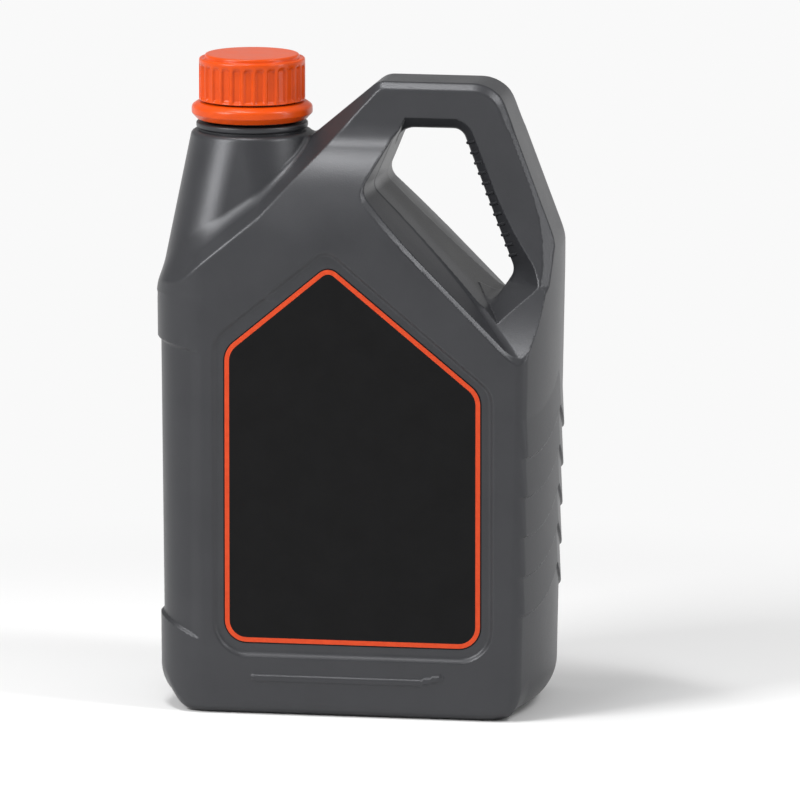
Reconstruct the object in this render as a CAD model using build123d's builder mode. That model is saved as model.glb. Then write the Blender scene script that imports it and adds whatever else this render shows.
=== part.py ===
"""A four-litre oil can with a moulded-in handle, its screw cap, tamper band, liner and two labels.

Frame: millimetres, +Z up. The origin is at the middle of the base, on the surface it stands on.
The front faces -Y, the handle is at +X and the neck at -X. The mould parts on the plane Y = 0, and
front and back are mirror images.
"""

import os
from math import atan2, cos, degrees, radians, sin, sqrt

from build123d import *

# ---- can: overall sizes -------------------------------------------------------------------------
wall = 1.3                                  # wall of the blown can
half_depth = 50.0                           # middle of the can to its flat front
left_foot, left_top = -93.5, -95.6          # left wall at the base and at the knuckle's height
right_foot, right_top = 91.2, 95.3          # crown of the right wall at the same heights
right_crown = 9.0                           # how far the right wall bulges between its corners
left_corner, right_corner = 28.0, 5.0       # upright corners
heel_side, heel_front = 20.0, 7.0           # rounding of the base edge at the sides and in front
crease = 0.3                                # rounded edges run this far past the walls they blend into
shoulder_height = 200.0                     # the left wall starts to lean in here
knuckle_height = shoulder_height + 16.0     # widest place, at the foot of the handle
top_height = shoulder_height + 100.4        # top of the handle
base_hollow = 4.0                           # push-up of the base ...
base_ring_side, base_ring_front = 28.0, 17.0             # ... and the ring it leaves to stand on

# ---- neck: all heights are built up from the top of the tower that carries it ---------------------
neck_x = left_top + 41.7
tower_top, tower_radius = shoulder_height + 74.0, 28.7
tower_ledge = 0.2                           # the tower's foot stands back this far from the walls
bore_radius, neck_wall = 18.6, 2.3
neck_radius = bore_radius + neck_wall
lip_height = tower_top + 32.6
collar_bottom, collar_radius = tower_top + 1.4, 25.6
collar_top = collar_bottom + 2.2
bead_bottom, bead_radius = collar_top + 7.4, neck_radius + 1.5
bead_top = bead_bottom + 1.8
thread_depth, thread_pitch, thread_turns = 1.3, 5.0, 1.5
thread_start = bead_top + 6.7
thread_root, thread_crest = 2.2, 1.0        # width of the thread at its foot and along its crest
thread_bite = 0.3                           # the thread's foot is sunk this far in its wall

# ---- shoulder and handle ------------------------------------------------------------------------
shoulder_slope = 40.0                       # degrees, from the neck up to the handle's top
shoulder_at_neck = tower_top - 26.6         # height at which that slope would cross the neck's axis
face_bend, face_blend = shoulder_height + 15.0, top_height - 25.4    # front curves back between these
face_round = 14.0                           # ... and runs into the handle's side with this radius
handle_half = 17.0                          # half of the handle's depth
handle_lean = 20.8                          # degrees, outer side of the handle from upright
handle_reach = right_top - 28.3             # where that side would meet the handle's top
knee_round, crest_round, brow_round = 18.0, 10.0, 24.0   # corners of the outline, seen from the front

# ---- finger hole --------------------------------------------------------------------------------
grip_width = 24.7                           # handle bar, from the hole to its outer side
bridge = 22.4                               # from the hole to the handle's top
hole_width = 30.5                           # along the hole's roof
hole_height = 67.0                          # from its roof down to its lower end
hole_side_lean, hole_side_drop = 23.7, 26.0      # its left side: degrees from upright, and height
hole_diagonal_angle, hole_end_angle = 135.0, 57.0        # its long lower side and its lower end
hole_corner = 6.0
hole_step = 2.0                             # web that the handle leaves inside the body's opening
hole_bevel, web_bevel = 4.5, 1.0            # bevels round the hole, on the handle and on the web
ramp_drop = 5.0                             # the handle starts to widen this far below the hole
ridge_radius, ridge_pitch, ridge_margin = 1.0, 5.2, 7.0  # finger ridges along the handle bar

# ---- panels, relief and ribs --------------------------------------------------------------------
panel_depth = 1.8                           # front and back panels, which take the labels
panel_left, panel_right = left_foot + 29.0, right_foot - 20.2
panel_bottom = 28.5
panel_peak = (neck_x + 44.4, shoulder_height + 25.0)
panel_left_height, panel_right_height = shoulder_height - 20.0, shoulder_height - 42.0
panel_foot_round, panel_brow_round, panel_peak_round = 17.0, 14.0, 10.0
relief_depth = 1.0                          # shallow relief round the left wall
relief_bottom, relief_top = 42.0, shoulder_height - 22.0
relief_front = left_foot + 21.5
scale_count, scale_pitch, scale_first = 5, 19.0, 50.0    # curved ribs on the right wall
scale_height, scale_width = 0.8, 2.2
scale_rise, scale_span = 14.0, half_depth - 4.0
scale_sag = 0.3                             # share of the rise that is reached at the middle of the span
strip_height, strip_width, strip_depth = 18.0, 2.6, 0.8  # raised strip under each panel
strip_left, strip_right = panel_left + 20.5, panel_right - 27.0

# ---- liner, cap, band and labels ----------------------------------------------------------------
liner_thickness, liner_radius = 1.2, neck_radius - 0.3
thread_clearance = 0.35                     # crest of the cap's thread to the neck
cap_clearance = 0.5                         # crest of the neck's thread to the cap's wall
cap_bore = neck_radius + thread_depth + cap_clearance
cap_radius = cap_bore + 1.7
cap_ceiling = lip_height + liner_thickness
cap_shoulder = cap_ceiling + 0.8
cap_top = cap_shoulder + 1.6                # top of the disc that stands on the cap's shoulder
cap_disc_radius, cap_edge_round = cap_radius - 1.8, 0.6
cap_rib_count, cap_rib_radius, cap_rib_top = 28, 0.85, cap_shoulder - 4.1
cap_rib_sink = 0.1                          # ribs start this far outside the cap's bore
band_clearance, hook_clearance = 0.5, 0.3   # band to the bead, and its hook to the neck
band_bore = bead_radius + band_clearance
band_radius, band_top_radius, band_bottom_radius = cap_radius + 4.4, cap_radius + 1.0, cap_radius + 2.0
band_bottom, band_top = collar_top + 1.8, bead_top + 1.0
band_lower, band_upper = band_bottom + 2.0, band_top - 1.8
band_hook_top = bead_bottom - 0.6
band_hook_bottom, band_hook_step = band_hook_top - 2.8, 0.2
cap_skirt = band_top + 0.6
label_thickness, label_margin = 0.15, 5.8

far = 400.0                                 # reaches past the whole can
overrun = 10.0                              # the upright walls run on this far past its base and top


def meet(first, second):
    """Where two lines cross. Each is a point and a direction in degrees."""
    (x1, z1), a1 = first
    (x2, z2), a2 = second
    c1, s1, c2, s2 = cos(radians(a1)), sin(radians(a1)), cos(radians(a2)), sin(radians(a2))
    t = ((x2 - x1) * s2 - (z2 - z1) * c2) / (c1 * s2 - s1 * c2)
    return (x1 + t * c1, z1 + t * s1)


def beside(line, distance):
    """The same line moved to its left by distance."""
    (x, z), angle = line
    return (x - distance * sin(radians(angle)), z + distance * cos(radians(angle))), angle


shoulder_line = ((neck_x, shoulder_at_neck), shoulder_slope)
top_line = ((0, top_height), 0)
handle_line = ((handle_reach, top_height), handle_lean - 90)
bar_line = beside(handle_line, -grip_width)
roof_line = beside(top_line, -bridge)
roof_corner = meet(roof_line, bar_line)
hole_side_line = ((roof_corner[0] - hole_width, roof_corner[1]), 90 - hole_side_lean)
hole_foot = roof_corner[1] - hole_height
side_foot = meet(hole_side_line, ((0, roof_corner[1] - hole_side_drop), 0))
hole_diagonal_line = (side_foot, hole_diagonal_angle)
hole_end_line = (meet(bar_line, ((0, hole_foot), 0)), hole_end_angle)
ramp_foot = hole_foot - ramp_drop


def hole_corners(opened, shut):
    """Corners of the finger hole, its handle sides moved out by opened and its body sides by shut."""
    sides = [
        beside(hole_side_line, shut), beside(roof_line, opened), beside(bar_line, opened),
        beside(hole_end_line, -opened), beside(hole_diagonal_line, shut),
    ]
    return [meet(sides[i - 1], sides[i]) for i in range(len(sides))]


def can_section(height, inset):
    """Level section through the can's four upright walls, moved in by inset."""
    share = height / knuckle_height
    left = left_foot + (left_top - left_foot) * share
    right = right_foot + (right_top - right_foot) * share
    with BuildSketch(Plane.XY.offset(height)) as section:
        with BuildLine():
            front = Line((left, -half_depth), (right - right_crown, -half_depth))
            ThreePointArc(front @ 1, (right, 0), (right - right_crown, half_depth))
            Polyline((right - right_crown, half_depth), (left, half_depth), front @ 0)
        make_face()
        fillet(section.vertices().group_by(Axis.X)[0], left_corner)
        fillet(section.vertices().group_by(Axis.X)[-1], right_corner)
        if inset:
            offset(amount=-inset)
    return section.sketch


def walls(inset):
    """The can's upright walls, which taper a little towards the base."""
    with BuildPart() as tube:
        loft([can_section(-overrun, inset), can_section(top_height + overrun, inset)], ruled=True)
    return tube.part


def panel_outline(margin):
    """Outline of a label panel, moved in by margin."""
    with BuildSketch(Plane.XZ) as outline:
        with BuildLine():
            Polyline(
                (panel_left, panel_bottom), (panel_left, panel_left_height), panel_peak,
                (panel_right, panel_right_height), (panel_right, panel_bottom), close=True,
            )
        make_face()
        fillet(outline.vertices().sort_by(Axis.Y)[-1:], panel_peak_round)
        fillet(outline.vertices().sort_by(Axis.Y)[2:4], panel_brow_round)
        fillet(outline.vertices().sort_by(Axis.Y)[0:2], panel_foot_round)
        if margin:
            offset(amount=-margin)
    return outline.sketch


def opening(inset):
    """What is missing beside the handle on each face, where the can is thinner than its walls."""
    side = beside(hole_side_line, hole_step)
    diagonal = beside(hole_diagonal_line, hole_step)
    with BuildPart() as gap:
        with BuildSketch(Plane.XZ) as front_view:
            with BuildLine():
                Polyline(
                    meet(side, diagonal), meet(side, ((0, far), 0)), (far, far),
                    meet(diagonal, ((far, 0), 90)), close=True,
                )
            make_face()
            fillet(front_view.vertices().sort_by(Axis.X)[0:1], hole_corner)
            if inset:
                offset(amount=inset)
        extrude(amount=far, both=True)
        with BuildSketch(Plane.YZ):
            for facing in (-1, 1):
                with BuildLine():
                    Polyline(
                        (facing * handle_half, ramp_foot), (facing * handle_half, far),
                        (facing * far, far), (facing * (handle_half + far), ramp_foot - far), close=True,
                    )
                make_face()
            if inset:
                offset(amount=inset)
        extrude(amount=far, both=True, mode=Mode.INTERSECT)
    return gap.part


def finger_hole(inset):
    """The hole through the handle, with a bevel that widens it towards the front and the back."""
    grown = inset * sqrt(2)
    with BuildPart() as hole:
        with BuildSketch(Plane.XZ) as straight:
            with BuildLine():
                Polyline(hole_corners(0, 0), close=True)
            make_face()
            fillet(straight.vertices(), hole_corner)
            if inset:
                offset(amount=inset)
        extrude(amount=far, both=True)
        bevel_levels = ((handle_half - hole_bevel - grown, 0), (handle_half, hole_bevel + grown))
        for facing in (-1, 1):
            for depth, opened in bevel_levels:
                with BuildSketch(Plane.XZ.offset(facing * depth)) as level:
                    with BuildLine():
                        Polyline(hole_corners(opened, opened * web_bevel / hole_bevel), close=True)
                    make_face()
                    fillet(level.vertices(), hole_corner)
            loft(ruled=True)
    return hole.part


def panel_cutter(facing, floor, inset):
    """Room in front of a label panel: facing is -1 for the front and 1 for the back."""
    with BuildPart() as room:
        with BuildSketch(Plane.XZ.offset(-facing * floor)):
            add(panel_outline(-inset))
        extrude(amount=-facing * far)
    return room.part


def tower(inset):
    """The can's leaning top left corner, which draws in to the round neck."""
    half_width = neck_x - left_top - tower_ledge - inset
    foot_half_depth = half_depth - tower_ledge - inset
    top_side = 2 * (tower_radius - inset) + crease
    with BuildPart() as cone:
        with BuildSketch(Plane.XY.offset(shoulder_height)):
            with Locations((neck_x, 0)):
                RectangleRounded(2 * half_width, 2 * foot_half_depth, left_corner - inset)
        with BuildSketch(Plane.XY.offset(tower_top - inset)):
            with Locations((neck_x, 0)):
                RectangleRounded(top_side, top_side, tower_radius - inset)
        loft(ruled=True)
    return cone.part


def can_form(inset):
    """The can up to the foot of its neck, every surface moved in by inset."""
    tower_lean = degrees(atan2(tower_top - shoulder_height, neck_x - tower_radius - left_top))
    tower_line = ((left_top + tower_ledge + crease, shoulder_height), tower_lean)
    right_line = ((right_foot + crease, 0), degrees(atan2(knuckle_height, right_top - right_foot)))
    edge = half_depth + crease
    ring_length = right_foot - right_crown - left_foot - 2 * base_ring_side
    with BuildPart() as form:
        add(walls(inset))
        with BuildSketch(Plane.XZ) as outline:
            with BuildLine():
                Polyline(
                    (left_foot - crease, 0), (left_top - crease, shoulder_height),
                    meet(tower_line, shoulder_line), meet(shoulder_line, top_line),
                    meet(top_line, handle_line), meet(handle_line, right_line), right_line[0], close=True,
                )
            make_face()
            fillet(outline.vertices().group_by(Axis.Y)[-1].sort_by(Axis.X)[-1:], knee_round)
            fillet(outline.vertices().group_by(Axis.Y)[-1].sort_by(Axis.X)[0:1], crest_round)
            fillet(outline.vertices().sort_by(Axis.X)[-1:], brow_round)
            fillet(outline.vertices().group_by(Axis.Y)[0], heel_side)
            if inset:
                offset(amount=-inset)
        extrude(amount=far, both=True, mode=Mode.INTERSECT)
        with BuildSketch(Plane.YZ) as profile:
            with BuildLine():
                Polyline((-edge, face_bend), (-edge, 0), (edge, 0), (edge, face_bend))
                TangentArc((edge, face_bend), (handle_half, face_blend), tangent=(0, 1))
                Polyline(
                    (handle_half, face_blend), (handle_half, far),
                    (-handle_half, far), (-handle_half, face_blend),
                )
                TangentArc((-edge, face_bend), (-handle_half, face_blend), tangent=(0, 1))
            make_face()
            fillet(profile.vertices().group_by(Axis.Y)[0], heel_front)
            fillet(profile.vertices().group_by(Axis.Y)[-2], face_round)
            if inset:
                offset(amount=-inset)
        extrude(amount=far, both=True, mode=Mode.INTERSECT)
        add(opening(inset), mode=Mode.SUBTRACT)
        add(finger_hole(inset), mode=Mode.SUBTRACT)
        with BuildSketch(Plane.XY):
            with Locations(((left_foot + right_foot - right_crown) / 2, 0)):
                RectangleRounded(ring_length, 2 * (half_depth - base_ring_front), left_corner / 2)
            if inset:
                offset(amount=inset)
        extrude(amount=base_hollow + inset, mode=Mode.SUBTRACT)
        add(tower(inset))
        for facing in (-1, 1):
            add(panel_cutter(facing, half_depth - panel_depth - inset, inset), mode=Mode.SUBTRACT)
    return form.part


def thread(radius, depth, start, side):
    """One raised screw ridge on a wall of that radius: side is 1 outside the wall and -1 inside it."""
    with BuildPart() as ridge:
        with BuildLine() as path:
            Helix(thread_pitch, thread_pitch * thread_turns, radius, center=(neck_x, 0, start))
        with BuildSketch(Plane(origin=path.line @ 0, x_dir=(side, 0, 0), z_dir=path.line % 0)):
            with BuildLine():
                Polyline(
                    (-thread_bite, -thread_root / 2), (0, -thread_root / 2),
                    (depth, -thread_crest / 2), (depth, thread_crest / 2),
                    (0, thread_root / 2), (-thread_bite, thread_root / 2), close=True,
                )
            make_face()
        sweep(path=path.line, is_frenet=True)
    return ridge.part


def ring_profile(points):
    """Solid of revolution about the neck's axis from (radius, height) points."""
    with BuildPart() as ring:
        with BuildSketch(Plane(origin=(neck_x, 0, 0), x_dir=(1, 0, 0), z_dir=(0, -1, 0))):
            with BuildLine():
                Polyline(points, close=True)
            make_face()
        revolve(axis=Axis((neck_x, 0, 0), (0, 0, 1)))
    return ring.part


def relief():
    """Shallow relief that runs round the left wall from front to back."""
    reach = relief_front - left_top + far
    with BuildPart() as band:
        with BuildSketch(Plane.XY.offset(relief_bottom)):
            with Locations((relief_front - reach / 2, 0)):
                Rectangle(reach, far)
        extrude(amount=relief_top - relief_bottom)
        add(walls(relief_depth), mode=Mode.SUBTRACT)
    return band.part


def scales():
    """Curved ribs on the right wall, which rise from each corner to the mould's parting plane."""
    half_span = scale_span / 2
    sag = scale_rise * scale_sag
    with BuildPart() as ribs:
        with BuildSketch(Plane.YZ):
            for count in range(scale_count):
                foot = scale_first + count * scale_pitch
                with BuildLine():
                    lower = ThreePointArc(
                        (-scale_span, foot), (-half_span, foot + sag), (0, foot + scale_rise)
                    )
                    Line(lower @ 1, lower @ 1 + Vector(0, scale_width))
                    upper = ThreePointArc(
                        (0, foot + scale_rise + scale_width), (-half_span, foot + sag + scale_width),
                        (-scale_span, foot + scale_width),
                    )
                    Line(upper @ 1, lower @ 0)
                make_face()
            mirror(about=Plane.YZ)
        extrude(amount=far)
        add(walls(-scale_height), mode=Mode.INTERSECT)
    return ribs.part


def strips():
    """Raised strip near the foot of the front and the back."""
    with BuildPart() as bars:
        for facing in (-1, 1):
            with BuildSketch(Plane.XZ.offset(-facing * (half_depth - wall / 2))):
                with Locations(((strip_left + strip_right) / 2, strip_height)):
                    SlotOverall(strip_right - strip_left, strip_width)
            extrude(amount=-facing * (wall / 2 + strip_depth))
    return bars.part


def finger_ridges():
    """Small ridges across the inside of the handle bar, where the fingers close round it."""
    run = hole_height / cos(radians(handle_lean)) - 2 * ridge_margin
    with BuildPart() as ridges:
        with BuildSketch(Plane.XZ):
            for count in range(int(run / ridge_pitch) + 1):
                along = ridge_margin + count * ridge_pitch
                x = roof_corner[0] + along * sin(radians(handle_lean))
                with Locations((x, roof_corner[1] - along * cos(radians(handle_lean)))):
                    Circle(ridge_radius)
        extrude(amount=handle_half - hole_bevel, both=True)
    return ridges.part


# ---- bottle: one blown shell --------------------------------------------------------------------
neck_root = tower_top - 5.0                 # the neck starts this far down, inside the tower ...
bore_foot = neck_root - wall                # ... and its bore a wall's thickness lower
with BuildPart() as bottle:
    add(can_form(0))
    add(relief(), mode=Mode.SUBTRACT)
    add(ring_profile([
        (0, neck_root), (neck_radius, neck_root), (neck_radius, collar_bottom),
        (collar_radius, collar_bottom), (collar_radius, collar_top), (neck_radius, collar_top),
        (neck_radius, bead_bottom), (bead_radius, bead_bottom), (neck_radius, bead_top),
        (neck_radius, lip_height), (0, lip_height),
    ]))
    add(thread(neck_radius, thread_depth, thread_start, 1))
    add(scales())
    add(strips())
    add(finger_ridges())
    add(can_form(wall), mode=Mode.SUBTRACT)
    bore = ring_profile([(0, bore_foot), (bore_radius, bore_foot), (bore_radius, far), (0, far)])
    add(bore, mode=Mode.SUBTRACT)
bottle.part.label = "bottle"

# ---- screw cap ----------------------------------------------------------------------------------
with BuildPart() as screw_cap:
    add(ring_profile([
        (0, cap_ceiling), (cap_bore, cap_ceiling), (cap_bore, cap_skirt), (cap_radius, cap_skirt),
        (cap_radius, cap_shoulder - cap_edge_round), (cap_radius - cap_edge_round, cap_shoulder),
        (cap_disc_radius, cap_shoulder), (cap_disc_radius, cap_top - cap_edge_round),
        (cap_disc_radius - cap_edge_round, cap_top), (0, cap_top),
    ]))
    with BuildSketch(Plane(origin=(neck_x, 0, cap_skirt))):
        with PolarLocations(cap_radius, cap_rib_count):
            Circle(cap_rib_radius)
        Circle(cap_bore + cap_rib_sink, mode=Mode.SUBTRACT)
    extrude(amount=cap_rib_top - cap_skirt)
    cap_thread_depth = thread_depth + cap_clearance - thread_clearance
    add(thread(cap_bore, cap_thread_depth, thread_start - thread_pitch / 2, -1))
screw_cap.part.label = "screw_cap"

# ---- tamper band: stays on the neck under its bead ----------------------------------------------
with BuildPart() as tamper_band:
    add(ring_profile([
        (band_bore, band_bottom), (band_bottom_radius, band_bottom), (band_radius, band_lower),
        (band_radius, band_upper), (band_top_radius, band_top), (band_bore, band_top),
        (band_bore, band_hook_top + band_hook_step), (neck_radius + hook_clearance, band_hook_top),
        (band_bore, band_hook_bottom),
    ]))
tamper_band.part.label = "tamper_band"

# ---- liner: rests on the neck's lip inside the cap ----------------------------------------------
with BuildPart() as cap_liner:
    with BuildSketch(Plane(origin=(neck_x, 0, lip_height))):
        Circle(liner_radius)
    extrude(amount=liner_thickness)
cap_liner.part.label = "cap_liner"

# ---- labels: printed film on the panels ---------------------------------------------------------
labels = {}
for name, facing in (("front_label", -1), ("back_label", 1)):
    with BuildPart() as film:
        with BuildSketch(Plane.XZ.offset(-facing * (half_depth - panel_depth))):
            add(panel_outline(label_margin))
        extrude(amount=-facing * label_thickness)
    film.part.label = name
    labels[name] = film.part

os.makedirs("parts", exist_ok=True)
export_step(bottle.part, "parts/bottle.step")
export_step(screw_cap.part, "parts/screw_cap.step")
export_step(tamper_band.part, "parts/tamper_band.step")
export_step(cap_liner.part, "parts/cap_liner.step")
export_step(labels["front_label"], "parts/front_label.step")
export_step(labels["back_label"], "parts/back_label.step")
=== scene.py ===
import itertools
from math import cos, pi, radians, sin

import bmesh
import bpy
import numpy as np
from mathutils import Matrix, Vector


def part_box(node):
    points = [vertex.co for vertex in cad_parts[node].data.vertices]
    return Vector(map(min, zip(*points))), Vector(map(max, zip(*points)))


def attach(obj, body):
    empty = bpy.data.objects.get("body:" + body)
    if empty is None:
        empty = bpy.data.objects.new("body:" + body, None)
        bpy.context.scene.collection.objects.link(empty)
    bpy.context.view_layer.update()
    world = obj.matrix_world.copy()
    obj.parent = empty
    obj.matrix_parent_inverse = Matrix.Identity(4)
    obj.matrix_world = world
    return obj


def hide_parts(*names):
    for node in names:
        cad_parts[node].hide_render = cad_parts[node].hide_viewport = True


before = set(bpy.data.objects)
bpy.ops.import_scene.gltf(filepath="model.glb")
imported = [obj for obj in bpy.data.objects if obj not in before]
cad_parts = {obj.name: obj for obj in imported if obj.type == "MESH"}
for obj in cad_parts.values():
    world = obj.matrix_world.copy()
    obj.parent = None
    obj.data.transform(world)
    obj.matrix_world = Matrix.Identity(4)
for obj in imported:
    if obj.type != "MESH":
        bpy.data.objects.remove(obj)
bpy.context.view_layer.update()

# ---- Studio ---------------------------------------------------------------------------------------
# One flat pale floor that glows white beyond the can's shadow. The air is bright at the horizon and
# darker overhead. Four soft lamps stand at the left, above, at the upper right and at the right.
# The camera looks slightly down at the can's front from a little to its right, through a long lens.
MM = 0.001
SMOOTH = {"interpolation_type": "SMOOTHSTEP"}


class Socket:
    """A node's output, on which the usual operators build Math nodes."""

    def __init__(self, kit, socket):
        self.kit, self.socket = kit, socket

    def _math(self, operation, *values):
        return self.kit.node("Math", {"operation": operation}, dict(enumerate(values)))

    def __add__(self, other):
        return self._math("ADD", self, other)

    def __radd__(self, other):
        return self._math("ADD", other, self)

    def __sub__(self, other):
        return self._math("SUBTRACT", self, other)

    def __rsub__(self, other):
        return self._math("SUBTRACT", other, self)

    def __mul__(self, other):
        return self._math("MULTIPLY", self, other)

    def __rmul__(self, other):
        return self._math("MULTIPLY", other, self)

    def __truediv__(self, other):
        return self._math("DIVIDE", self, other)

    def call(self, operation, *values):
        return self._math(operation, self, *values)


class NodeKit:
    """Adds nodes to one tree and links them. A short kind, such as TexNoise, is a shader node."""

    def __init__(self, tree):
        self.tree = tree

    def node(self, kind, settings=None, inputs=None, output=0):
        """One output of a new node."""
        made = self.raw(kind, settings, inputs)
        return Socket(self, made.outputs[output])

    def raw(self, kind, settings=None, inputs=None):
        """A new node with its settings made and its inputs set or linked."""
        if kind.startswith(("Geometry", "Shader", "Function", "Node")):
            made = self.tree.nodes.new(kind)
        else:
            made = self.tree.nodes.new("ShaderNode" + kind)
        for name, value in (settings or {}).items():
            setattr(made, name, value)
        for name, value in (inputs or {}).items():
            if isinstance(value, Socket):
                self.tree.links.new(value.socket, made.inputs[name])
            else:
                made.inputs[name].default_value = value
        return made

    def smooth_rise(self, value, start, end):
        """0 below start, 1 above end and a smooth rise between."""
        return self.node("MapRange", SMOOTH, {0: value, 1: start, 2: end})

    def blend(self, factor, first, second):
        """A colour between two, given as red, green and blue."""
        ends = {6: (*first, 1), 7: (*second, 1)}
        return self.node("Mix", {"data_type": "RGBA"}, {"Factor": factor, **ends}, output=2)


def new_material(name):
    material = bpy.data.materials.new(name)
    material.use_nodes = True
    material.node_tree.nodes.clear()
    return material, NodeKit(material.node_tree)


def finish_surface(kit, settings):
    """Ends a material's tree in a Principled BSDF with the given socket values and links."""
    shader = kit.node("BsdfPrincipled", {}, settings)
    kit.raw("OutputMaterial", {}, {"Surface": shader})


floor_reach = 14.0
floor_mesh = bpy.data.meshes.new("studio_floor")
floor_mesh.from_pydata(
    [(-floor_reach, -floor_reach, 0), (floor_reach, -floor_reach, 0), (floor_reach, floor_reach, 0),
     (-floor_reach, floor_reach, 0)], [], [(0, 1, 2, 3)],
)
studio_floor = bpy.data.objects.new("studio_floor", floor_mesh)
bpy.context.collection.objects.link(studio_floor)


def bright_rays(kit):
    """1 for the rays that should see the plain bright studio: the camera's and those off glossy skin."""
    rays = kit.raw("LightPath")
    straight, glossy, through = (
        Socket(kit, rays.outputs[name]) for name in ("Is Camera Ray", "Is Glossy Ray", "Is Transmission Ray")
    )
    return straight.call("MAXIMUM", glossy).call("MAXIMUM", through)


floor_material, kit = new_material("studio_paper")
place = kit.node("TexCoord", output="Object")
spot = kit.node("VectorMath", {"operation": "LENGTH"}, {0: place}, output="Value")
clear_from, clear_to, paper_tone, far_tone = 0.24, 0.5, 0.84, 0.948
clear = kit.smooth_rise(spot, clear_from, clear_to)
paper = kit.node("BsdfDiffuse", {}, {"Color": (paper_tone, paper_tone, paper_tone, 1)})
paper_glow = kit.node("Emission", {}, {"Color": (far_tone, far_tone, far_tone, 1), "Strength": 1.0})
sheet = kit.node("MixShader", {}, {0: clear * bright_rays(kit), 1: paper, 2: paper_glow})
kit.raw("OutputMaterial", {}, {"Surface": sheet})
floor_mesh.materials.append(floor_material)

world = bpy.data.worlds.new("studio_air")
bpy.context.scene.world = world
world.use_nodes = True
world.node_tree.nodes.clear()
kit = NodeKit(world.node_tree)
air_light, air_low, air_high, ceiling_from = 0.36, 0.95, 0.35, 0.22
sight = kit.node("TexCoord", output="Generated")
rise = Socket(kit, kit.raw("SeparateXYZ", {}, {"Vector": sight}).outputs["Z"])
air_seen = kit.smooth_rise(rise, 0.0, ceiling_from) * (air_high - air_low) + air_low
air = kit.node("Background", {}, {
    "Color": (1, 1, 1, 1), "Strength": bright_rays(kit) * (air_seen - air_light) + air_light,
})
kit.raw("OutputWorld", {}, {"Surface": air})


def add_softbox(name, place, aim, width, height, power):
    """A rectangular soft lamp at place, turned towards aim."""
    lamp = bpy.data.lights.new(name, "AREA")
    lamp.shape, lamp.size, lamp.size_y, lamp.energy = "RECTANGLE", width, height, power
    holder = bpy.data.objects.new(name, lamp)
    holder.location = place
    holder.rotation_euler = (Vector(aim) - Vector(place)).to_track_quat("-Z", "Y").to_euler()
    bpy.context.collection.objects.link(holder)


add_softbox("left_softbox", (-0.9, -0.85, 0.9), (0, 0, 0.12), 0.5, 0.7, 16.0)
add_softbox("top_softbox", (-0.2, -0.2, 1.25), (0, 0, 0.2), 0.5, 0.12, 6.0)
add_softbox("upper_right_softbox", (0.8, -0.28, 1.0), (0, 0, 0.2), 0.16, 0.4, 5.0)
add_softbox("right_softbox", (1.15, -0.25, 0.4), (0, 0, 0.15), 0.22, 0.5, 2.5)

camera_yaw, camera_rise = radians(10.0), radians(9.7)
camera_distance, seen_width = 6.0, 0.3828
aim_right, aim_up = 0.0172, 0.1426
right = Vector((cos(camera_yaw), sin(camera_yaw), 0))
ahead = Vector((-sin(camera_yaw) * cos(camera_rise), cos(camera_yaw) * cos(camera_rise), -sin(camera_rise)))
up = right.cross(ahead)
camera = bpy.data.cameras.new("camera")
camera.sensor_width = 36.0
camera.lens = camera.sensor_width * camera_distance / seen_width
camera.clip_end = 50.0
camera_holder = bpy.data.objects.new("camera", camera)
camera_holder.matrix_world = Matrix.Translation(
    right * aim_right + up * aim_up - ahead * camera_distance
) @ Matrix((right, up, -ahead)).transposed().to_4x4()
bpy.context.collection.objects.link(camera_holder)
bpy.context.scene.camera = camera_holder
bpy.context.scene.view_settings.view_transform = "Standard"

# ---- Can ------------------------------------------------------------------------------------------
# The blown can: one shell of graphite polyethylene with a satin, finely grained surface.
# Its form is a distance field, solid where negative, so every edge has the soft round of blown plastic.


def in_mm(box):
    """The low and the high corner of a box, in millimetres."""
    return [1000 * np.array(corner) for corner in box]


can_low, can_high = in_mm(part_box("bottle"))
cap_low, cap_high = in_mm(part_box("screw_cap"))
neck_x = (cap_low[0] + cap_high[0]) / 2
half_depth = 50.0
left_foot, left_top = can_low[0] + 1.95, can_low[0] + 0.05
right_foot, right_top = can_high[0] - 4.2, can_high[0] - 0.1
wall_height = 216.0
top_height, tower_top = 300.4, 274.0
right_crown = 9.0
handle_half = 17.0
bore_radius = 18.6
diagonal = 0.707


def both(a, b, radius, turn=90.0):
    """Overlap of two solids, whose skins turn through turn degrees at an edge of that radius."""
    c = cos(radians(turn))
    a, b = a + radius, b + radius
    arc = np.sqrt(np.maximum(a * a + b * b - 2 * c * a * b, 0) / (1 - c * c))
    return np.where((a > c * b) & (b > c * a), arc, np.maximum(a, b)) - radius


def either(a, b, radius, turn=90.0):
    """Two solids joined, with the inner corner between them filled to that radius."""
    return -both(-a, -b, radius, turn)


def ease(t):
    """0 below 0, 1 above 1 and a smooth rise between."""
    t = np.clip(t, 0, 1)
    return t * t * (3 - 2 * t)


def beyond(x, z, line):
    """Distance to the left of a line, which is a point and a direction in degrees."""
    x0, z0, angle = line
    return (z - z0) * cos(radians(angle)) - (x - x0) * sin(radians(angle))


shoulder_line = (neck_x, 247.4, 40.0)
handle_line = (67.0, top_height, 20.8 - 90)
tower_line = (left_top + 0.3, 200.0, 80.0)
hole_side_line = (18.1, 278.0, 66.3)
roof_line = (0.0, 278.0, 0.0)
bar_line = (49.0, 278.0, 20.8 - 90)
end_line = (74.5, 211.0, 57.0 - 180)
diagonal_line = (0.0, 257.0, 135.0)
ramp_foot = 206.0
panel_depth = half_depth - in_mm(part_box("back_label"))[0][1]


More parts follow.
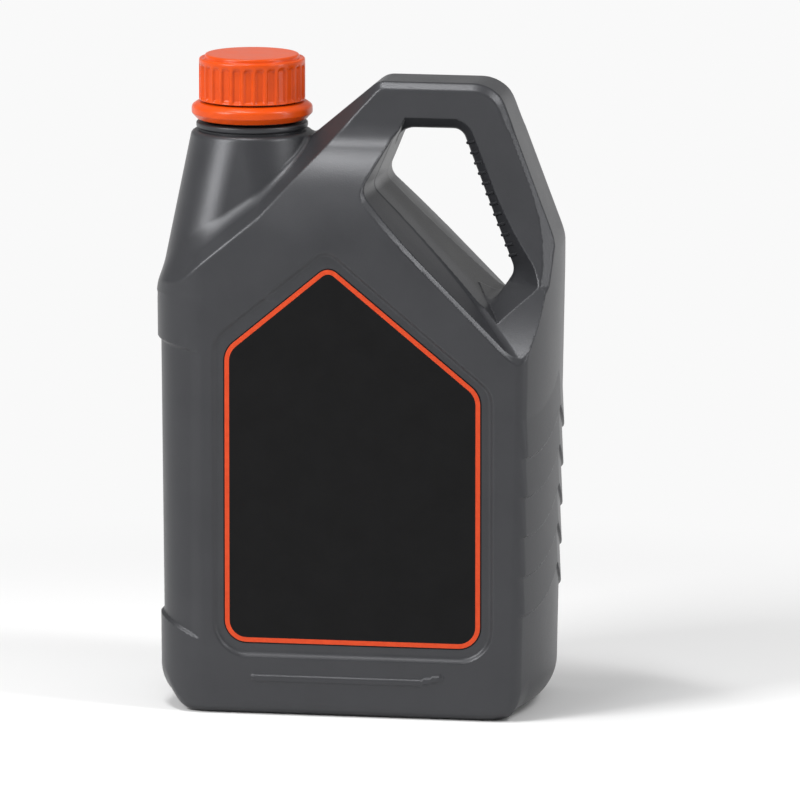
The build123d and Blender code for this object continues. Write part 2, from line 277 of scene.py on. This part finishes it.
def panel_edge(x, z):
    """Distance outside the outline of a label panel."""
    roof_x, roof_z = -9.5, 226.5
    panel_left, panel_right, panel_foot = -64.5, 71.5, 27.5
    roof_left, roof_right = beyond(x, z, (roof_x, roof_z, 39.3)), beyond(x, z, (roof_x, roof_z, -39.8))
    roof = both(roof_left, roof_right, radius=9.0, turn=79.1)
    left = both(panel_left - x, roof, radius=14.0, turn=50.7)
    right = both(x - panel_right, roof, radius=14.0, turn=50.2)
    return both(np.maximum(left, right), panel_foot - z, radius=17.0)


def relief_on(x, y, z):
    """The shallow forms: depth of panel and waist, and height of scales and strip, in millimetres."""
    face_from, face_fade = 40, 4
    on_face = ease((y - face_from) / face_fade)
    recess = panel_depth * ease(-panel_edge(x, z) / 3.0) * on_face

    # waist across the left wall
    waist_depth, waist_end, waist_fade = 1.6, -69.0, 7
    from_left = x + 95
    waist_foot, waist_top = z - (45.5 - 0.43 * from_left), 178.5 - 0.15 * from_left - z
    waist = waist_depth * ease((waist_end - x) / waist_fade) * ease(waist_foot / 1.6) * ease(waist_top / 2.0)

    # arched scales up the right wall
    scale_height, scale_pitch, scale_count, scale_foot = 1.2, 19.0, 5, 50.5
    arch_rise, arch_power, wall_from, wall_fade = 18.0, 2.2, 74, 8
    climb = arch_rise * (1 - np.minimum(y / half_depth, 1)) ** arch_power
    count = (z - climb - scale_foot) / scale_pitch
    part = count - np.floor(count)
    scale = scale_height * (1 - part) * ease(part * scale_pitch / scale_height)
    scale = scale * (count > 0) * (count < scale_count)
    scale = scale * ease((x - wall_from) / wall_fade) * ease((half_depth - y) / 3)

    # strip under the panel, with its end turned up
    strip_height, strip_half, strip_z = 0.75, 1.9, 18
    strip_left, strip_bend, strip_right, bend_slope = -44, 36, 45.5, 0.26
    reach = np.hypot(x - np.clip(x, strip_left, strip_bend), z - strip_z)
    end_x = np.clip(x, strip_bend, strip_right)
    end_reach = np.hypot(x - end_x, z - strip_z - (end_x - strip_bend) * bend_slope)
    strip = strip_height * ease(strip_half - np.minimum(reach, end_reach)) * on_face
    return recess, waist, scale, strip


def can_field(x, y, z):
    """Distance outside the can, in millimetres."""
    y = np.abs(y)
    share = z / wall_height
    crown_radius = (right_crown ** 2 + half_depth ** 2) / (2 * right_crown)
    left = left_foot + (left_top - left_foot) * share - x
    right_middle = right_foot + (right_top - right_foot) * share - crown_radius
    right = np.hypot(x - right_middle, y) - crown_radius

    # front face: flat up to the bend, then an arc back to the handle's side
    bend, arc = 215.0, 71.0
    bent = np.where(z < bend, y - half_depth, np.hypot(y - (half_depth - arc), z - bend) - arc)
    face = either(bent, y - handle_half, radius=16.0, turn=57.0)

    # outline seen from the front, with a foot rounded more at the sides than at the front
    slope = beyond(x, z, shoulder_line)
    outer = beyond(x, z, handle_line)
    crest = both(both(slope, z - top_height, radius=10.0, turn=40.0), outer, radius=18.0, turn=69.2)
    rim = both(crest, beyond(x, z, tower_line), radius=6.0, turn=40.0)
    corner = both(left, face, radius=28.0)
    walls = both(corner, both(right, outer, radius=24.0, turn=21.8), radius=4.0)
    foot_round, side_extra, side_spread = 7.0, 13.0, 26
    side_share = ease(0.5 + (np.maximum(left, right) - face) / side_spread)
    body = both(walls, -z, radius=foot_round + side_extra * side_share)
    body = both(body, rim, radius=1.5)

    # bevel band below the sloping shoulder and round the handle's outer edge
    band_most, band_least, band_taper, band_from = 14.0, 3.4, 0.2, -43
    end_narrowing, end_from, end_fade = 6.0, -78.0, 16
    band = np.clip(band_most - band_taper * (x - band_from), band_least, band_most)
    band = band - end_narrowing * ease((end_from - x) / end_fade)
    body = both(body, (crest + corner + band) * diagonal, radius=2.2, turn=45.0)
    handle_bevel = 2.6
    depth = handle_half + np.maximum(ramp_foot - z, 0)
    body = both(body, (outer + y - depth + handle_bevel) * diagonal, radius=1.5, turn=45.0)

    # room for the hand beside the handle, with a ramp below it and slightly sloping walls
    hand_gap, wall_draft = 1.5, 0.10
    hand = both(beyond(x, z, hole_side_line), beyond(x, z, diagonal_line), radius=7.0, turn=68.7)
    ramp = both(handle_half - y, (handle_half - y + ramp_foot - z) * diagonal, radius=110.0, turn=45.0)
    draft = hand_gap - wall_draft * np.maximum(y - handle_half, 0)
    room = both(hand + draft, ramp, radius=2.5)
    least_round, more_round = 0.05, 1.15
    rounding = np.minimum(ease((hand + 7) / 5), ease((272 - z) / 6))
    body = both(body, -room, radius=least_round + more_round * rounding)
    bevel_width, bevel_top, bevel_fade, bevel_lift = 1.9, 274, 30, 4
    end_lift = bevel_lift * (1 - ease((bevel_top - z) / bevel_fade))
    body = both(body, (face - room + bevel_width) * diagonal - end_lift, radius=0.7, turn=45.0)

    # finger hole, with a bevel along the handle's bar
    grip = both(beyond(x, z, roof_line), beyond(x, z, bar_line), radius=6.0, turn=69.2)
    grip = both(grip, beyond(x, z, end_line), radius=7.0, turn=54.0)
    grip_bevel, bevel_gap = 5.8, 2.0
    bevel = (y - (depth - grip_bevel) - grip) * diagonal
    body = both(body, -np.maximum(-bevel, hand + bevel_gap), radius=1.0, turn=45.0)
    hole = both(hand + hand_gap, grip, radius=6.0)
    body = both(body, -hole, radius=2.0)

    # tower that carries the neck: a rounded oblong at its foot and nearly round at its top
    tower_foot, foot_x, foot_y, foot_corner, top_half = 200, 40.8, 47.8, 27.5, 28.7
    sink_slope, wall_lean = 1.5, 0.96
    rise = np.clip((z - tower_foot) / (tower_top - tower_foot), 0, 1)
    sunk = sink_slope * np.maximum(tower_foot - z, 0)
    half_x = foot_x + (top_half - foot_x) * rise - sunk
    half_y = foot_y + (top_half - foot_y) * rise - sunk
    round_xy = foot_corner + (top_half - foot_corner) * rise
    across, along = np.abs(x - neck_x) - half_x + round_xy, y - half_y + round_xy
    past_sides = np.hypot(np.maximum(across, 0), np.maximum(along, 0))
    tower = past_sides + np.minimum(np.maximum(across, along), 0) - round_xy
    tower = both(tower * wall_lean, z - tower_top, radius=2.0)
    body = either(body, tower, radius=3.0)

    recess, waist, scale, strip = relief_on(x, y, z)
    body = body + recess + waist - scale - strip

    # inside of the tower, which shows when the cap is off, and the hollow under the base
    tower_wall, inside_foot, bore_foot = 2.5, 190, 255
    inside = both(tower + tower_wall, inside_foot - z, radius=6.0)
    bore = np.maximum(np.hypot(x - neck_x, y) - bore_radius, bore_foot - z)
    body = np.maximum(body, -np.minimum(inside, bore))
    base_half_x, base_half_y, base_rise = 64, 33, 3.5
    base_middle = (left_foot + right_foot) / 2
    base = np.maximum(np.abs(x - base_middle) - base_half_x, y - base_half_y)
    return both(body, -both(base, z - base_rise, radius=3.0), radius=2.0)


def skin_of(field, low, step):
    """Quads round the solid part of a sampled field, with one point in each cell that its skin crosses."""
    cells_each_way = np.array(field.shape) - 1
    solid = field < 0
    corners = list(itertools.product((0, 1), repeat=3))
    filled = np.zeros(cells_each_way, np.int8)
    for c in corners:
        filled += solid[tuple(slice(c[i], c[i] + cells_each_way[i]) for i in range(3))]
    cells = np.argwhere((filled > 0) & (filled < 8))
    number = np.full(cells_each_way, -1, np.int32)
    number[tuple(cells.T)] = np.arange(len(cells))
    total, hits = np.zeros((len(cells), 3)), np.zeros(len(cells))
    for c in corners:
        for axis in range(3):
            if c[axis] == 0:
                start, end = np.array(c), np.array(c)
                end[axis] = 1
                a, b = field[tuple((cells + start).T)], field[tuple((cells + end).T)]
                crosses = (a < 0) != (b < 0)
                share = np.where(crosses, a / np.where(crosses, a - b, 1), 0)
                total += np.where(crosses[:, None], start + share[:, None] * (end - start), 0)
                hits += crosses
    points = low + step * (cells + total / hits[:, None])
    quads = []
    for axis in range(3):
        u, v = np.eye(3, dtype=int)[(axis + 1) % 3], np.eye(3, dtype=int)[(axis + 2) % 3]
        near = np.moveaxis(solid, axis, 0)[:-1]
        far = np.moveaxis(solid, axis, 0)[1:]
        edges = np.argwhere(np.moveaxis(near != far, 0, axis))
        edges = edges[np.all((edges >= u + v) & (edges < cells_each_way), axis=1)]
        ring = np.stack([number[tuple((edges - shift).T)] for shift in (u + v, v, 0 * u, u)], axis=1)
        outward = solid[tuple(edges.T)]
        ring[~outward] = ring[~outward][:, ::-1]
        quads.append(ring)
    return points, np.concatenate(quads)


def slope_of(points):
    """Direction in which the can's field grows fastest, at each point."""
    reach = 0.15
    grown = []
    for axis in range(3):
        shift = np.zeros(3)
        shift[axis] = reach
        ahead_of, behind = (points + shift).T, (points - shift).T
        grown.append((can_field(*ahead_of) - can_field(*behind)) / (2 * reach))
    return np.stack(grown, axis=1)


def settle(points, turns):
    """Moves points onto the can's skin."""
    least_square, longest_step = 0.3, 0.8
    for _ in range(turns):
        slope = slope_of(points)
        square = np.maximum((slope ** 2).sum(axis=1), least_square)
        step = can_field(*points.T)[:, None] * slope / square[:, None]
        points = points - np.clip(step, -longest_step, longest_step)
    return points


cell = 1.0
margin = 3.2
field_high = (can_high[0], can_high[1], top_height)
grid = [np.arange(low - margin, high + margin, cell) for low, high in zip(can_low, field_high)]
sampled = can_field(grid[0][:, None, None], grid[1][None, :, None], grid[2][None, None, :])
skin_points, skin_quads = skin_of(sampled, np.array([axis[0] for axis in grid]), cell)
skin_points = settle(skin_points, 2)
can_mesh = bpy.data.meshes.new("can_shell")
can_mesh.from_pydata((skin_points * MM).tolist(), [], skin_quads.tolist())
can_shell = bpy.data.objects.new("can_shell", can_mesh)
bpy.context.collection.objects.link(can_shell)
most_triangles = 190000
if 2 * len(skin_quads) > most_triangles:
    thin = can_shell.modifiers.new("thin", "DECIMATE")
    thin.ratio = most_triangles / (2 * len(skin_quads))
    thinned = bpy.data.meshes.new_from_object(can_shell.evaluated_get(bpy.context.evaluated_depsgraph_get()))
    can_shell.modifiers.remove(thin)
    can_shell.data = thinned
    can_mesh = thinned
corners = np.empty(len(can_mesh.vertices) * 3)
can_mesh.vertices.foreach_get("co", corners)
corners = settle(corners.reshape(-1, 3) / MM, 2)
can_mesh.vertices.foreach_set("co", (corners * MM).ravel())
can_mesh.update()
can_mesh.shade_smooth()
leaning = slope_of(corners)
leaning /= np.maximum(np.linalg.norm(leaning, axis=1), 1e-6)[:, None]
can_mesh.normals_split_custom_set_from_vertices(leaning.tolist())

can_plastic, kit = new_material("can_plastic")
place = kit.node("TexCoord", output="Object")
grain = kit.node("TexNoise", {}, {"Vector": place, "Scale": 1400.0, "Detail": 2.0, "Roughness": 0.6})
flow = kit.node("TexNoise", {}, {"Vector": place, "Scale": 45.0, "Detail": 4.0, "Roughness": 0.55})
speck = kit.node("TexNoise", {}, {"Vector": place, "Scale": 3600.0, "Detail": 1.0})
colour = kit.blend(flow * 0.55 + speck * 0.45, (0.026, 0.027, 0.030), (0.050, 0.051, 0.056))
bump = kit.node("Bump", {}, {"Height": grain + flow * 2.0, "Strength": 0.25, "Distance": 0.00015})
finish_surface(kit, {
    "Base Color": colour, "Metallic": 0.35, "Roughness": flow * 0.10 + grain * 0.10 + 0.28, "Normal": bump,
})
can_mesh.materials.clear()
can_mesh.materials.append(can_plastic)
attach(can_shell, "can")
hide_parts("bottle")

# ---- Neck finish ----------------------------------------------------------------------------------
# The can's moulded neck, in the same plastic: a collar that stops the tamper band, the bead that the
# band snaps under, and a plain lip. It is turned round the neck's axis and closed inside by its bore.
neck_radius = 20.9
collar_foot, lip_height = 266.0, cap_high[2] - 3.6


def softened(points, rounds):
    """A closed outline with each corner replaced by a short curve that starts that far from it."""
    made = []
    for i, (corner, reach) in enumerate(zip(points, rounds)):
        corner = np.array(corner, float)
        before, after = np.array(points[i - 1], float), np.array(points[(i + 1) % len(points)], float)
        if reach == 0:
            made.append(tuple(corner))
            continue
        start = corner + (before - corner) * reach / np.linalg.norm(before - corner)
        end = corner + (after - corner) * reach / np.linalg.norm(after - corner)
        for t in np.linspace(0, 1, 6):
            made.append(tuple((1 - t) ** 2 * start + 2 * t * (1 - t) * corner + t ** 2 * end))
    return made


def split_long(points, longest):
    """The same closed outline with points added so that no side is longer than longest."""
    made = []
    for start, end in zip(points, points[1:] + points[:1]):
        start, end = np.array(start), np.array(end)
        pieces = max(1, int(np.ceil(np.linalg.norm(end - start) / longest)))
        made += [tuple(start + (end - start) * k / pieces) for k in range(pieces)]
    return made


def turned(name, outline, steps):
    """A ring turned round the neck's axis from a closed (radius, height) outline, in millimetres."""
    count = len(outline)
    points, faces = [], []
    for step in range(steps):
        angle = 2 * pi * step / steps
        for radius, height in outline:
            points.append(((neck_x + radius * cos(angle)) * MM, radius * sin(angle) * MM, height * MM))
    for step in range(steps):
        here, there = step * count, (step + 1) % steps * count
        for k in range(count):
            after = (k + 1) % count
            faces.append((here + k, there + k, there + after, here + after))
    mesh = bpy.data.meshes.new(name)
    mesh.from_pydata(points, [], faces)
    form = bmesh.new()
    form.from_mesh(mesh)
    bmesh.ops.remove_doubles(form, verts=form.verts, dist=1e-7)
    bmesh.ops.recalc_face_normals(form, faces=form.faces)
    form.to_mesh(mesh)
    form.free()
    mesh.shade_smooth()
    made = bpy.data.objects.new(name, mesh)
    bpy.context.collection.objects.link(made)
    return made


neck_outline = softened([
    (bore_radius, collar_foot), (neck_radius + 4.0, collar_foot), (25.4, 273.0), (25.4, 274.9), (26.6, 275.3),
    (26.6, 277.9), (neck_radius, 278.1), (neck_radius, 285.0), (22.4, 285.0), (neck_radius, 286.8),
    (neck_radius, lip_height), (bore_radius, lip_height),
], [0, 0, 0.3, 0.3, 0.9, 0.9, 0.6, 0.2, 0.3, 0.2, 0.7, 0.6])
neck_finish = turned("neck_finish", split_long(neck_outline, 2.0), 160)
neck_finish.data.materials.append(can_plastic)
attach(neck_finish, "can")

# ---- Neck thread ----------------------------------------------------------------------------------
# One and a half turns of a single-start screw ridge, moulded on the neck with the can.
# It is a right-hand spiral with a trapezoid section, made by following a spiral curve.
thread_pitch, thread_turns, thread_foot = 5.0, 1.5, 293.5
thread_depth, thread_root, thread_crest = 1.3, 2.2, 1.0


def node_group(name, inputs):
    """A geometry node group with named inputs, its kit, and its input node."""
    tree = bpy.data.node_groups.new(name, "GeometryNodeTree")
    tree.interface.new_socket("Geometry", in_out="OUTPUT", socket_type="NodeSocketGeometry")
    for label, (kind, value) in inputs.items():
        socket = tree.interface.new_socket(label, in_out="INPUT", socket_type="NodeSocket" + kind)
        if value is not None:
            socket.default_value = value
    kit = NodeKit(tree)
    return tree, kit, kit.raw("NodeGroupInput")


def close_group(kit, geometry, material):
    """Ends a node group with its instances made real and its material set."""
    real = kit.node("GeometryNodeRealizeInstances", {}, {0: geometry})
    covered = kit.node("GeometryNodeSetMaterial", {}, {"Geometry": real, "Material": material})
    kit.raw("NodeGroupOutput", {}, {0: covered})


def grown(name, tree, values, base=None):
    """The mesh that a node group makes from base, as a new plain object."""
    holder = bpy.data.objects.new(name + "_maker", base or bpy.data.meshes.new(name + "_base"))
    bpy.context.collection.objects.link(holder)
    modifier = holder.modifiers.new("nodes", "NODES")
    modifier.node_group = tree
    for item in tree.interface.items_tree:
        if item.in_out == "INPUT" and item.name in values:
            modifier[item.identifier] = values[item.name]
    mesh = bpy.data.meshes.new_from_object(holder.evaluated_get(bpy.context.evaluated_depsgraph_get()))
    mesh.name = name
    bpy.data.objects.remove(holder)
    made = bpy.data.objects.new(name, mesh)
    bpy.context.collection.objects.link(made)
    return made


def sized(**values):
    """Node group inputs: a float for each size, an integer for each count."""
    return {
        label.replace("_", " "): (("Int", value) if isinstance(value, int) else ("Float", value))
        for label, value in values.items()
    }


thread_tree, kit, given = node_group("screw thread", {
    **sized(Pitch=0.005, Turns=1.5, Radius=0.0209, Foot=0.2935, Axis_X=-0.0539),
    **sized(Depth=0.0013, Root=0.0022, Crest=0.001),
    "Material": ("Material", None),
})
pick = {socket.name: Socket(kit, socket) for socket in given.outputs}
spiral = kit.node("GeometryNodeCurveSpiral", {}, {
    "Resolution": 96, "Rotations": pick["Turns"], "Height": pick["Pitch"] * pick["Turns"], "Reverse": False,
    "Start Radius": pick["Radius"], "End Radius": pick["Radius"],
})
section = kit.node("GeometryNodeCurvePrimitiveQuadrilateral", {"mode": "TRAPEZOID"}, {
    "Bottom Width": pick["Root"], "Top Width": pick["Crest"], "Height": pick["Depth"] * 2, "Offset": 0.0,
})
ridge = kit.node("GeometryNodeCurveToMesh", {}, {
    "Curve": spiral, "Profile Curve": section, "Fill Caps": True,
})
shift = kit.node("CombineXYZ", {}, {"X": pick["Axis X"], "Z": pick["Foot"]})
placed = kit.node("GeometryNodeTransform", {}, {"Geometry": ridge, "Translation": shift})
close_group(kit, placed, pick["Material"])
neck_thread = grown("neck_thread", thread_tree, {
    "Pitch": thread_pitch * MM, "Turns": thread_turns, "Radius": neck_radius * MM,
    "Foot": thread_foot * MM, "Axis X": float(neck_x * MM),
    "Depth": thread_depth * MM, "Root": thread_root * MM, "Crest": thread_crest * MM,
    "Material": can_plastic,
})
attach(neck_thread, "can")

# ---- Finger ridges --------------------------------------------------------------------------------
# A row of small half-round ribs across the inside of the handle bar, part of the can's moulding.
# Each rib runs over both bevels of the bar and the flat between them.
ridge_count, ridge_pitch, ridge_start, ridge_radius = 12, 5.2, 7.0, 0.8
bar_x, bar_z, bar_angle = bar_line
bar_way = Vector((cos(radians(bar_angle)), 0, sin(radians(bar_angle))))
bar_out = Vector((-sin(radians(bar_angle)), 0, cos(radians(bar_angle))))

ridge_tree, kit, given = node_group("finger ridges", {
    **sized(Count=12, Radius=0.00075),
    "First": ("Vector", (0, 0, 0)), "Step": ("Vector", (0, 0, 0.005)),
    "Across": ("Vector", (0, 0.0115, 0)), "Bevel": ("Vector", (0.004, 0.004, 0)),
    "Material": ("Material", None),
})
pick = {socket.name: Socket(kit, socket) for socket in given.outputs}


def vector_math(kit, operation, *values):
    """The vector result of a Vector Math node."""
    return kit.node("VectorMath", {"operation": operation}, dict(enumerate(values)), output="Vector")


row = kit.node("GeometryNodeMeshLine", {"mode": "OFFSET"}, {
    "Count": pick["Count"], "Start Location": pick["First"], "Offset": pick["Step"],
})
flip = (1.0, -1.0, 1.0)
front_end = vector_math(kit, "MULTIPLY", pick["Across"], flip)
front_bevel = vector_math(kit, "ADD", front_end, vector_math(kit, "MULTIPLY", pick["Bevel"], flip))
back_bevel = vector_math(kit, "ADD", pick["Across"], pick["Bevel"])
flat = kit.node("GeometryNodeCurvePrimitiveLine", {}, {"Start": front_end, "End": pick["Across"]})
front_run = kit.node("GeometryNodeCurvePrimitiveLine", {}, {"Start": front_bevel, "End": front_end})
back_run = kit.node("GeometryNodeCurvePrimitiveLine", {}, {"Start": pick["Across"], "End": back_bevel})
ring = kit.node("GeometryNodeCurvePrimitiveCircle", {}, {"Resolution": 12, "Radius": pick["Radius"]})
runs = kit.raw("GeometryNodeJoinGeometry")
for run in (flat, front_run, back_run):
    tube = kit.node("GeometryNodeCurveToMesh", {}, {"Curve": run, "Profile Curve": ring, "Fill Caps": True})
    kit.tree.links.new(tube.socket, runs.inputs[0])
ribs = kit.node("GeometryNodeInstanceOnPoints", {}, {"Points": row, "Instance": Socket(kit, runs.outputs[0])})
close_group(kit, ribs, pick["Material"])
bevel_reach, ridge_lift, flat_half = 4.6, 0.6, handle_half - 5.5
first_rib = Vector((bar_x, 0, bar_z)) + bar_way * ridge_start + bar_out * ridge_lift
finger_ridges = grown("finger_ridges", ridge_tree, {
    "Count": ridge_count, "Radius": ridge_radius * MM,
    "First": first_rib * MM, "Step": bar_way * ridge_pitch * MM,
    "Across": Vector((0, flat_half, 0)) * MM,
    "Bevel": (bar_out * bevel_reach + Vector((0, bevel_reach, 0))) * MM, "Material": can_plastic,
})
finger_ridges.data.shade_smooth()
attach(finger_ridges, "can")

# ---- Tamper band ----------------------------------------------------------------------------------
# The cap's torn-off ring in orange polypropylene, which stays snapped under the neck's bead.
# Its outside bulges into a shoulder above a narrower foot, and a hook inside holds it on.
band_low, band_high = in_mm(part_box("tamper_band"))
band_foot, band_top = band_low[2], band_high[2]
band_radius, band_bore = (band_high[0] - band_low[0]) / 2, 22.9

cap_plastic, kit = new_material("cap_plastic")
place = kit.node("TexCoord", output="Object")
grain = kit.node("TexNoise", {}, {"Vector": place, "Scale": 900.0, "Detail": 2.0})
flow = kit.node("TexNoise", {}, {"Vector": place, "Scale": 90.0, "Detail": 3.0})
colour = kit.blend(flow, (0.52, 0.050, 0.001), (0.66, 0.072, 0.002))
bump = kit.node("Bump", {}, {"Height": grain + flow * 1.5, "Strength": 0.2, "Distance": 0.0001})
finish_surface(kit, {
    "Base Color": colour, "Roughness": flow * 0.12 + 0.24, "Specular IOR Level": 0.3, "Normal": bump,
})

band_outline = softened([
    (band_bore, band_foot), (26.2, band_foot), (band_radius - 0.6, band_foot + 2.2),
    (band_radius, band_foot + 2.8), (band_radius, band_foot + 6.2), (band_radius - 2.6, band_top - 0.4),
    (band_bore, band_top), (band_bore, 284.6), (21.2, 284.4), (band_bore, 281.6),
], [0.4, 0.5, 0.4, 0.4, 1.2, 0.8, 0.4, 0.1, 0.1, 0.1])
tamper_ring = turned("tamper_ring", split_long(band_outline, 1.2), 192)
tamper_ring.data.materials.append(cap_plastic)
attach(tamper_ring, "can")
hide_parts("tamper_band")

# ---- Screw cap ------------------------------------------------------------------------------------
# The cap in the same orange polypropylene: a skirt with arched flutes to grip, a plain band above
# them and a raised disc. The flutes are pressed into a turned shell, all alike, round the skirt.
cap_radius = (cap_high[0] - cap_low[0]) / 2
skirt_foot, disc_top = cap_low[2], cap_high[2]
wall_top = disc_top - 1.6
flute_count, flute_depth, flute_top, arch_rise = 28, 1.15, wall_top - 2.6, 3.0
cap_bore, ceiling = 22.7, disc_top - 2.4
steps_in_flute = 14

cap_outline = softened([
    (0.0, ceiling), (cap_bore, ceiling), (cap_bore, skirt_foot), (cap_radius, skirt_foot),
    (cap_radius, wall_top), (22.6, wall_top - 0.5), (22.4, disc_top), (0.0, disc_top),
], [0, 0.8, 0.3, 0.4, 1.4, 0.5, 1.0, 0])
cap_blank = turned("cap_blank", split_long(cap_outline, 0.7), flute_count * steps_in_flute)

flute_tree, kit, given = node_group("cap flutes", {
    "Geometry": ("Geometry", None),
    **sized(Count=28, Depth=0.001, Foot=0.289, Arch_Top=0.305, Arch_Rise=0.003),
    **sized(Axis_X=-0.0539, Outer=0.0252),
    "Material": ("Material", None),
})
pick = {socket.name: Socket(kit, socket) for socket in given.outputs}
apart = kit.raw("SeparateXYZ", {}, {0: kit.node("GeometryNodeInputPosition")})
x, y, z = (Socket(kit, apart.outputs[i]) for i in range(3))
x = x - pick["Axis X"]
radius = (x * x + y * y).call("SQRT")
turn = y.call("ARCTAN2", x) / (2 * pi) + 1.0
share = (turn * pick["Count"]).call("FRACT") * 2.0 - 1.0
aside = share.call("ABSOLUTE")
arch = (1.0 - aside * aside).call("MAXIMUM", 0.0).call("SQRT")
limit = pick["Arch Top"] - pick["Arch Rise"] * (1.0 - arch)
edge, flute_half, flute_side, skin_from, skin_to = 0.0011, 0.86, 0.34, -0.0012, -0.0004
below_arch = kit.smooth_rise(limit - z, 0.0, edge)
within = kit.smooth_rise(flute_half - aside, 0.0, flute_side)
outside = kit.node("MapRange", {}, {0: radius - pick["Outer"], 1: skin_from, 2: skin_to})
above_foot = kit.smooth_rise(z - pick["Foot"], 0.0, edge)
press = below_arch * within * outside * above_foot * pick["Depth"]
inwards = kit.node("CombineXYZ", {}, {"X": 0.0 - press * x / radius, "Y": 0.0 - press * y / radius})
pressed = kit.node("GeometryNodeSetPosition", {}, {"Geometry": pick["Geometry"], "Offset": inwards})
close_group(kit, pressed, pick["Material"])
fluted_cap = grown("fluted_cap", flute_tree, {
    "Count": flute_count, "Depth": flute_depth * MM, "Foot": float((skirt_foot + 0.5) * MM),
    "Arch Top": float(flute_top * MM), "Arch Rise": arch_rise * MM, "Axis X": float(neck_x * MM),
    "Outer": float(cap_radius * MM), "Material": cap_plastic,
}, cap_blank.data)
bpy.data.objects.remove(cap_blank)
fluted_cap.data.shade_smooth()
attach(fluted_cap, "cap")
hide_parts("screw_cap")

# ---- Liner ----------------------------------------------------------------------------------------
# A thin disc of white foamed polyethylene that the cap presses on the neck's lip.
# It keeps its plain shape, with a fine closed-cell texture.
liner_foam, kit = new_material("liner_foam")
place = kit.node("TexCoord", output="Object")
cells = kit.node("TexVoronoi", {}, {"Vector": place, "Scale": 1500.0}, output="Distance")
colour = kit.blend(cells, (0.86, 0.86, 0.84), (0.74, 0.74, 0.72))
bump = kit.node("Bump", {}, {"Height": cells, "Strength": 0.3, "Distance": 0.0001})
finish_surface(kit, {"Base Color": colour, "Roughness": cells * 0.2 + 0.6, "Normal": bump})
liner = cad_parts["cap_liner"]
liner.data.materials.clear()
liner.data.materials.append(liner_foam)

# ---- Labels ---------------------------------------------------------------------------------------
# Printed film on both panels: a matt black field with one orange line just inside its edge.
# The field is left blank. Each film is a thin closed sheet, its outline eased round every corner.
film_black, kit = new_material("label_film")
place = kit.node("TexCoord", output="Object")
mottle = kit.node("TexNoise", {}, {"Vector": place, "Scale": 60.0, "Detail": 5.0, "Roughness": 0.6})
fine = kit.node("TexNoise", {}, {"Vector": place, "Scale": 1100.0, "Detail": 1.0})
colour = kit.blend(mottle, (0.003, 0.003, 0.0032), (0.007, 0.007, 0.0074))
bump = kit.node("Bump", {}, {"Height": fine + mottle, "Strength": 0.15, "Distance": 0.0001})
finish_surface(kit, {
    "Base Color": colour, "Roughness": mottle * 0.15 + 0.5, "Specular IOR Level": 0.12, "Normal": bump,
})

line_orange, kit = new_material("label_line")
place = kit.node("TexCoord", output="Object")
ink = kit.node("TexNoise", {}, {"Vector": place, "Scale": 400.0, "Detail": 3.0})
colour = kit.blend(ink, (0.52, 0.045, 0.010), (0.66, 0.072, 0.018))
finish_surface(kit, {"Base Color": colour, "Roughness": ink * 0.1 + 0.4, "Specular IOR Level": 0.2})

label_corners = [(-59.0, 34.3), (65.0, 34.3), (65.0, 157.5), (-8.5, 217.5), (-59.0, 175.5)]
label_rounds = [11.0, 11.0, 12.0, 7.0, 12.0]
film_height, film_sink, rim_width, line_width = 0.2, 0.4, 0.6, 2.2


def rounded_outline(corners, rounds, inset):
    """A polygon moved in by inset, each corner an arc of its radius less the inset."""
    made = []
    count, arc_steps = len(corners), 8
    for i, radius in enumerate(rounds):
        corner = Vector(corners[i])
        into = (corner - Vector(corners[i - 1])).normalized()
        out = (Vector(corners[(i + 1) % count]) - corner).normalized()
        half_turn = into.angle_signed(out) / -2
        centre = corner + (out - into).normalized() * radius / cos(abs(half_turn))
        first = Vector((into.y, -into.x))
        for k in range(arc_steps + 1):
            angle = 2 * half_turn * k / arc_steps
            c, s = cos(angle), sin(angle)
            way = Vector((first.x * c - first.y * s, first.x * s + first.y * c))
            made.append(centre + way * (radius - inset))
    return made


panel_floor = abs(float(in_mm(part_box("front_label"))[1][1]))
for facing, node in ((-1, "front_label"), (1, "back_label")):
    base = panel_floor * facing
    top = base + film_height * facing
    levels = [
        (0.0, base - film_sink * facing), (0.0, base + film_height * 0.7 * facing), (0.15, top),
        (rim_width, top), (rim_width + line_width, top),
    ]
    rings = []
    for inset, level in levels:
        outline = rounded_outline(label_corners, label_rounds, inset)
        rings.append([(p.x, level, p.y) for p in outline])
    size = len(rings[0])
    points = [point for ring in rings for point in ring]
    faces = [
        (r * size + k, r * size + (k + 1) % size, (r + 1) * size + (k + 1) % size, (r + 1) * size + k)
        for r in range(len(rings) - 1) for k in range(size)
    ]
    line_faces = range((len(rings) - 2) * size, (len(rings) - 1) * size)
    faces += [tuple(range((len(rings) - 1) * size, len(rings) * size)), tuple(range(size))[::-1]]
    mesh = bpy.data.meshes.new(node + "_film")
    mesh.from_pydata([tuple(c * MM for c in point) for point in points], [], faces)
    for k in line_faces:
        mesh.polygons[k].material_index = 1
    form = bmesh.new()
    form.from_mesh(mesh)
    bmesh.ops.recalc_face_normals(form, faces=form.faces)
    form.to_mesh(mesh)
    form.free()
    mesh.materials.append(film_black)
    mesh.materials.append(line_orange)
    film = bpy.data.objects.new(node + "_film", mesh)
    bpy.context.collection.objects.link(film)
    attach(film, "can")
    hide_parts(node)
